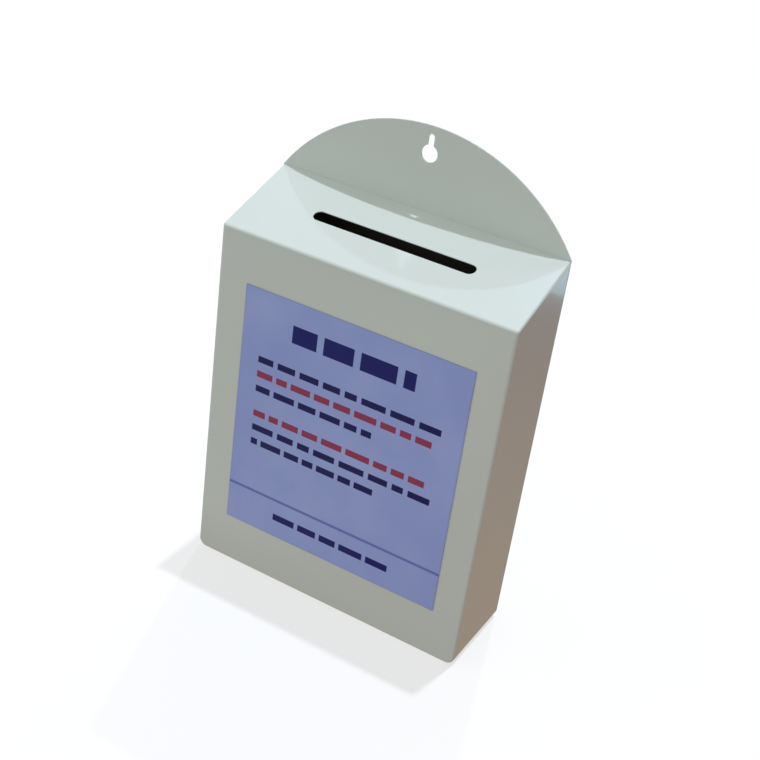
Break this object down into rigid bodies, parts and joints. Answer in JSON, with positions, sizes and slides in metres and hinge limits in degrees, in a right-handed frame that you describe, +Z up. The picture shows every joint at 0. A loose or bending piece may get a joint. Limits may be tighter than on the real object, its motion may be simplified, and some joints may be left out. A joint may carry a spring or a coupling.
{
  "type": "suggestion box",
  "caption": "Wall-hung sheet-steel suggestion box with a flat sloping lid, letter slot, round-headed back plate with a keyhole, and a locked door in its base.",
  "frame": {"origin": "middle of the base: centred in width and depth, on the plane the rim stands on", "axes": "+Z up towards the keyhole, -Y out of the front that carries the label, +Y out of the back plate towards the wall, +X to the right as seen from the front"},
  "size_m": [0.22, 0.0706, 0.348],
  "materials": {
    "white_paint": "gloss off-white enamel with a faint green cast",
    "label_print": "laminated lavender print",
    "zinc_steel": "bright zinc plate",
    "rivet_aluminium": "satin",
    "lock_chrome": "polished nickel chrome"
  },
  "bodies": {
    "box": {"body_shell": "white_paint", "lid": "white_paint", "back_plate": "white_paint", "strike_bracket": "white_paint", "label_sheet": "label_print", "hinge_leaf_fixed": "zinc_steel", "hinge_pin": "zinc_steel", "plate_rivet_1": "rivet_aluminium", "plate_rivet_2": "rivet_aluminium", "plate_rivet_3": "rivet_aluminium", "plate_rivet_4": "rivet_aluminium"},
    "base_door": {"door": "white_paint", "hinge_leaf_door": "zinc_steel", "door_rivet_1": "rivet_aluminium", "door_rivet_2": "rivet_aluminium", "door_rivet_3": "rivet_aluminium", "door_rivet_4": "rivet_aluminium", "lock_housing": "lock_chrome", "lock_nut": "lock_chrome"},
    "lock_core": {"lock_plug": "lock_chrome", "lock_cam": "zinc_steel", "cam_washer": "zinc_steel", "cam_screw": "zinc_steel"}
  },
  "joints": [
    {"name": "door_hinge", "type": "hinge", "parent": "box", "child": "base_door", "pos_m": [0, 0.0318, 0.00275], "axis": [1, 0, 0], "range_deg": [0, 90]},
    {"name": "lock_turn", "type": "hinge", "parent": "base_door", "child": "lock_core", "pos_m": [0, -0.00775, 0.01], "axis": [0, 0, 1], "range_deg": [0, 90]}
  ]
}
